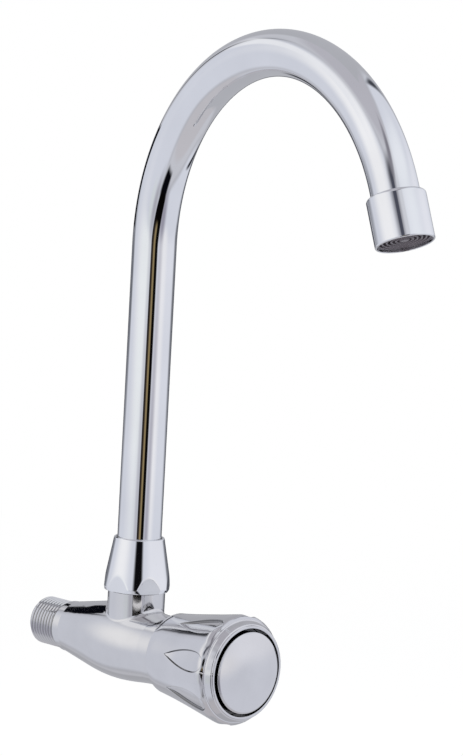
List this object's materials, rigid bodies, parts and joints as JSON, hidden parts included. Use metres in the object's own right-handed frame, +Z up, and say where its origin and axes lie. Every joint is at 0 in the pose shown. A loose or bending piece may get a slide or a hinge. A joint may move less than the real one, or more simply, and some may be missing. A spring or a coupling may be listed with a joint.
{
  "type": "commercial wall faucet",
  "caption": "Chromed wall faucet with a horizontal threaded inlet, front round fluted knob on the body axis, and a swivelling gooseneck spout ending in an aerator.",
  "frame": {"origin": "on the inlet axis, where the inlet thread meets the collar that stands against the wall", "axes": "+Z up along the spout's swivel axis, +Y along the inlet thread into the wall, the knob faces -Y"},
  "size_m": [0.0576, 0.2331, 0.2868],
  "materials": {
    "valve_body": "polished plating on cast brass",
    "spout_nut": "polished plating on brass",
    "spout_slip_ring": "smooth low-friction plastic",
    "spout_wear_ring": "smooth low-friction plastic",
    "seat_seal": "smooth",
    "fixed_disc": "lapped",
    "cartridge_housing": "turned",
    "cartridge_gasket": "fibre and rubber sheet",
    "spout_tube": "polished plating on drawn tube",
    "spout_ferrule": "turned",
    "spout_o_rings": "smooth",
    "outlet_adapter": "turned",
    "aerator_gasket": "smooth",
    "aerator_screen": "fine screen",
    "aerator_insert": "moulded",
    "aerator_housing": "polished plating on brass",
    "moving_disc": "lapped",
    "spindle": "turned",
    "stem_o_rings": "smooth",
    "thrust_washer": "smooth low-friction plastic",
    "spindle_clip": "spring steel",
    "knob_shell": "polished plating on cast zinc",
    "knob_bush": "moulded",
    "knob_screw": "bright",
    "knob_cap": "polished plating, domed"
  },
  "bodies": {
    "valve": {"valve_body": "valve_body", "spout_nut": "spout_nut", "spout_slip_ring": "spout_slip_ring", "spout_wear_ring": "spout_wear_ring", "seat_seal": "seat_seal", "fixed_disc": "fixed_disc", "cartridge_housing": "cartridge_housing", "cartridge_gasket": "cartridge_gasket"},
    "spout": {"spout_tube": "spout_tube", "spout_ferrule": "spout_ferrule", "spout_o_rings": "spout_o_rings", "outlet_adapter": "outlet_adapter", "aerator_gasket": "aerator_gasket", "aerator_screen": "aerator_screen", "aerator_insert": "aerator_insert", "aerator_housing": "aerator_housing"},
    "knob": {"moving_disc": "moving_disc", "spindle": "spindle", "stem_o_rings": "stem_o_rings", "thrust_washer": "thrust_washer", "spindle_clip": "spindle_clip", "knob_shell": "knob_shell", "knob_bush": "knob_bush", "knob_screw": "knob_screw", "knob_cap": "knob_cap"}
  },
  "joints": [
    {"name": "spout_swivel", "type": "hinge", "parent": "valve", "child": "spout", "pos_m": [0, -0.0412, 0.036], "axis": [0, 0, 1], "continuous": true},
    {"name": "knob_turn", "type": "hinge", "parent": "valve", "child": "knob", "pos_m": [0, -0.09, 0], "axis": [0, -1, 0], "range_deg": [0, 90]}
  ]
}
